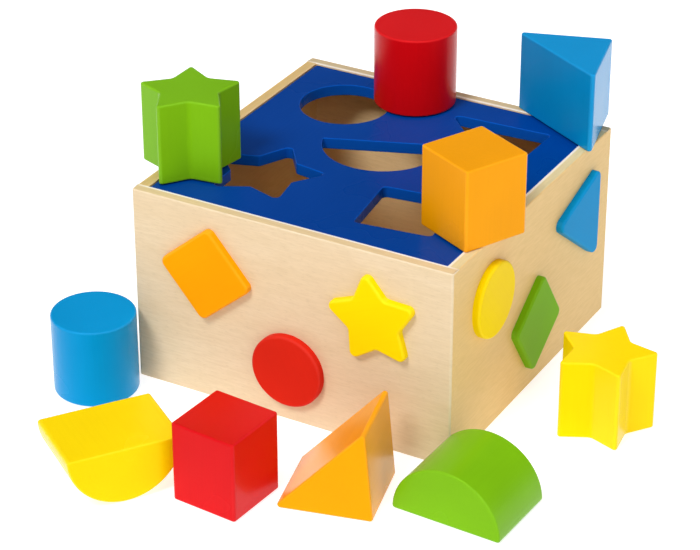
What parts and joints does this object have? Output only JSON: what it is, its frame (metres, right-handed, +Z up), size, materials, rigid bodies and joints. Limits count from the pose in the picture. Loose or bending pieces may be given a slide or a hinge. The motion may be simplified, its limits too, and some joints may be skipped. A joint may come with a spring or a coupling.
{
  "type": "wooden shape sorter",
  "caption": "Square wooden shape-sorting box with a lift-out lid of shaped holes, loose prism, star, cylinder and half-round blocks, and flat painted shapes on its sides.",
  "frame": {"origin": "middle of the underside of the box", "axes": "+X to the right along the front of the box, +Y to the back, +Z up"},
  "size_m": [0.2791, 0.3091, 0.147],
  "materials": {
    "natural_wood": "pale birch, clear sealed, fine straight grain",
    "lid_paint": "dark blue satin paint on plywood",
    "red_paint": "red semi-gloss paint",
    "orange_paint": "orange semi-gloss paint",
    "yellow_paint": "yellow semi-gloss paint",
    "green_paint": "green semi-gloss paint",
    "blue_paint": "light blue semi-gloss paint"
  },
  "bodies": {
    "box": {"front_panel": "natural_wood", "back_panel": "natural_wood", "left_panel": "natural_wood", "right_panel": "natural_wood", "base_panel": "natural_wood", "lid_rest_front_left": "natural_wood", "lid_rest_front_right": "natural_wood", "lid_rest_back_left": "natural_wood", "lid_rest_back_right": "natural_wood", "front_square": "orange_paint", "front_disc": "red_paint", "front_star": "yellow_paint", "right_disc": "yellow_paint", "right_square": "green_paint", "right_triangle": "blue_paint", "back_disc": "green_paint", "back_star": "red_paint", "back_triangle": "orange_paint", "left_star": "blue_paint", "left_triangle": "yellow_paint", "left_disc": "red_paint"},
    "lid": {"lid": "lid_paint"},
    "green_star": {"green_star_block": "green_paint"},
    "red_cylinder": {"red_cylinder_block": "red_paint"},
    "blue_prism": {"blue_prism_block": "blue_paint"},
    "orange_cuboid": {"orange_cuboid_block": "orange_paint"},
    "blue_cylinder": {"blue_cylinder_block": "blue_paint"},
    "yellow_half": {"yellow_half_block": "yellow_paint"},
    "red_cuboid": {"red_cuboid_block": "red_paint"},
    "orange_prism": {"orange_prism_block": "orange_paint"},
    "green_half": {"green_half_block": "green_paint"},
    "yellow_star": {"yellow_star_block": "yellow_paint"}
  },
  "joints": [
    {"name": "lid_lift", "type": "slide", "parent": "box", "child": "lid", "axis": [0, 0, 1], "range_m": [0, 0.12]},
    {"name": "green_star_lift", "type": "slide", "parent": "lid", "child": "green_star", "axis": [0, 0, 1], "range_m": [0, 0.06]},
    {"name": "red_cylinder_lift", "type": "slide", "parent": "lid", "child": "red_cylinder", "axis": [0, 0, 1], "range_m": [0, 0.06]},
    {"name": "blue_prism_lift", "type": "slide", "parent": "lid", "child": "blue_prism", "axis": [0, 0, 1], "range_m": [0, 0.06]},
    {"name": "orange_cuboid_lift", "type": "slide", "parent": "lid", "child": "orange_cuboid", "axis": [0, 0, 1], "range_m": [0, 0.06]},
    {"name": "blue_cylinder_lift", "type": "slide", "parent": "box", "child": "blue_cylinder", "axis": [0, 0, 1], "range_m": [0, 0.16]},
    {"name": "yellow_half_lift", "type": "slide", "parent": "box", "child": "yellow_half", "axis": [0, 0, 1], "range_m": [0, 0.16]},
    {"name": "red_cuboid_lift", "type": "slide", "parent": "box", "child": "red_cuboid", "axis": [0, 0, 1], "range_m": [0, 0.16]},
    {"name": "orange_prism_lift", "type": "slide", "parent": "box", "child": "orange_prism", "axis": [0, 0, 1], "range_m": [0, 0.16]},
    {"name": "green_half_lift", "type": "slide", "parent": "box", "child": "green_half", "axis": [0, 0, 1], "range_m": [0, 0.16]},
    {"name": "yellow_star_lift", "type": "slide", "parent": "box", "child": "yellow_star", "axis": [0, 0, 1], "range_m": [0, 0.16]}
  ]
}
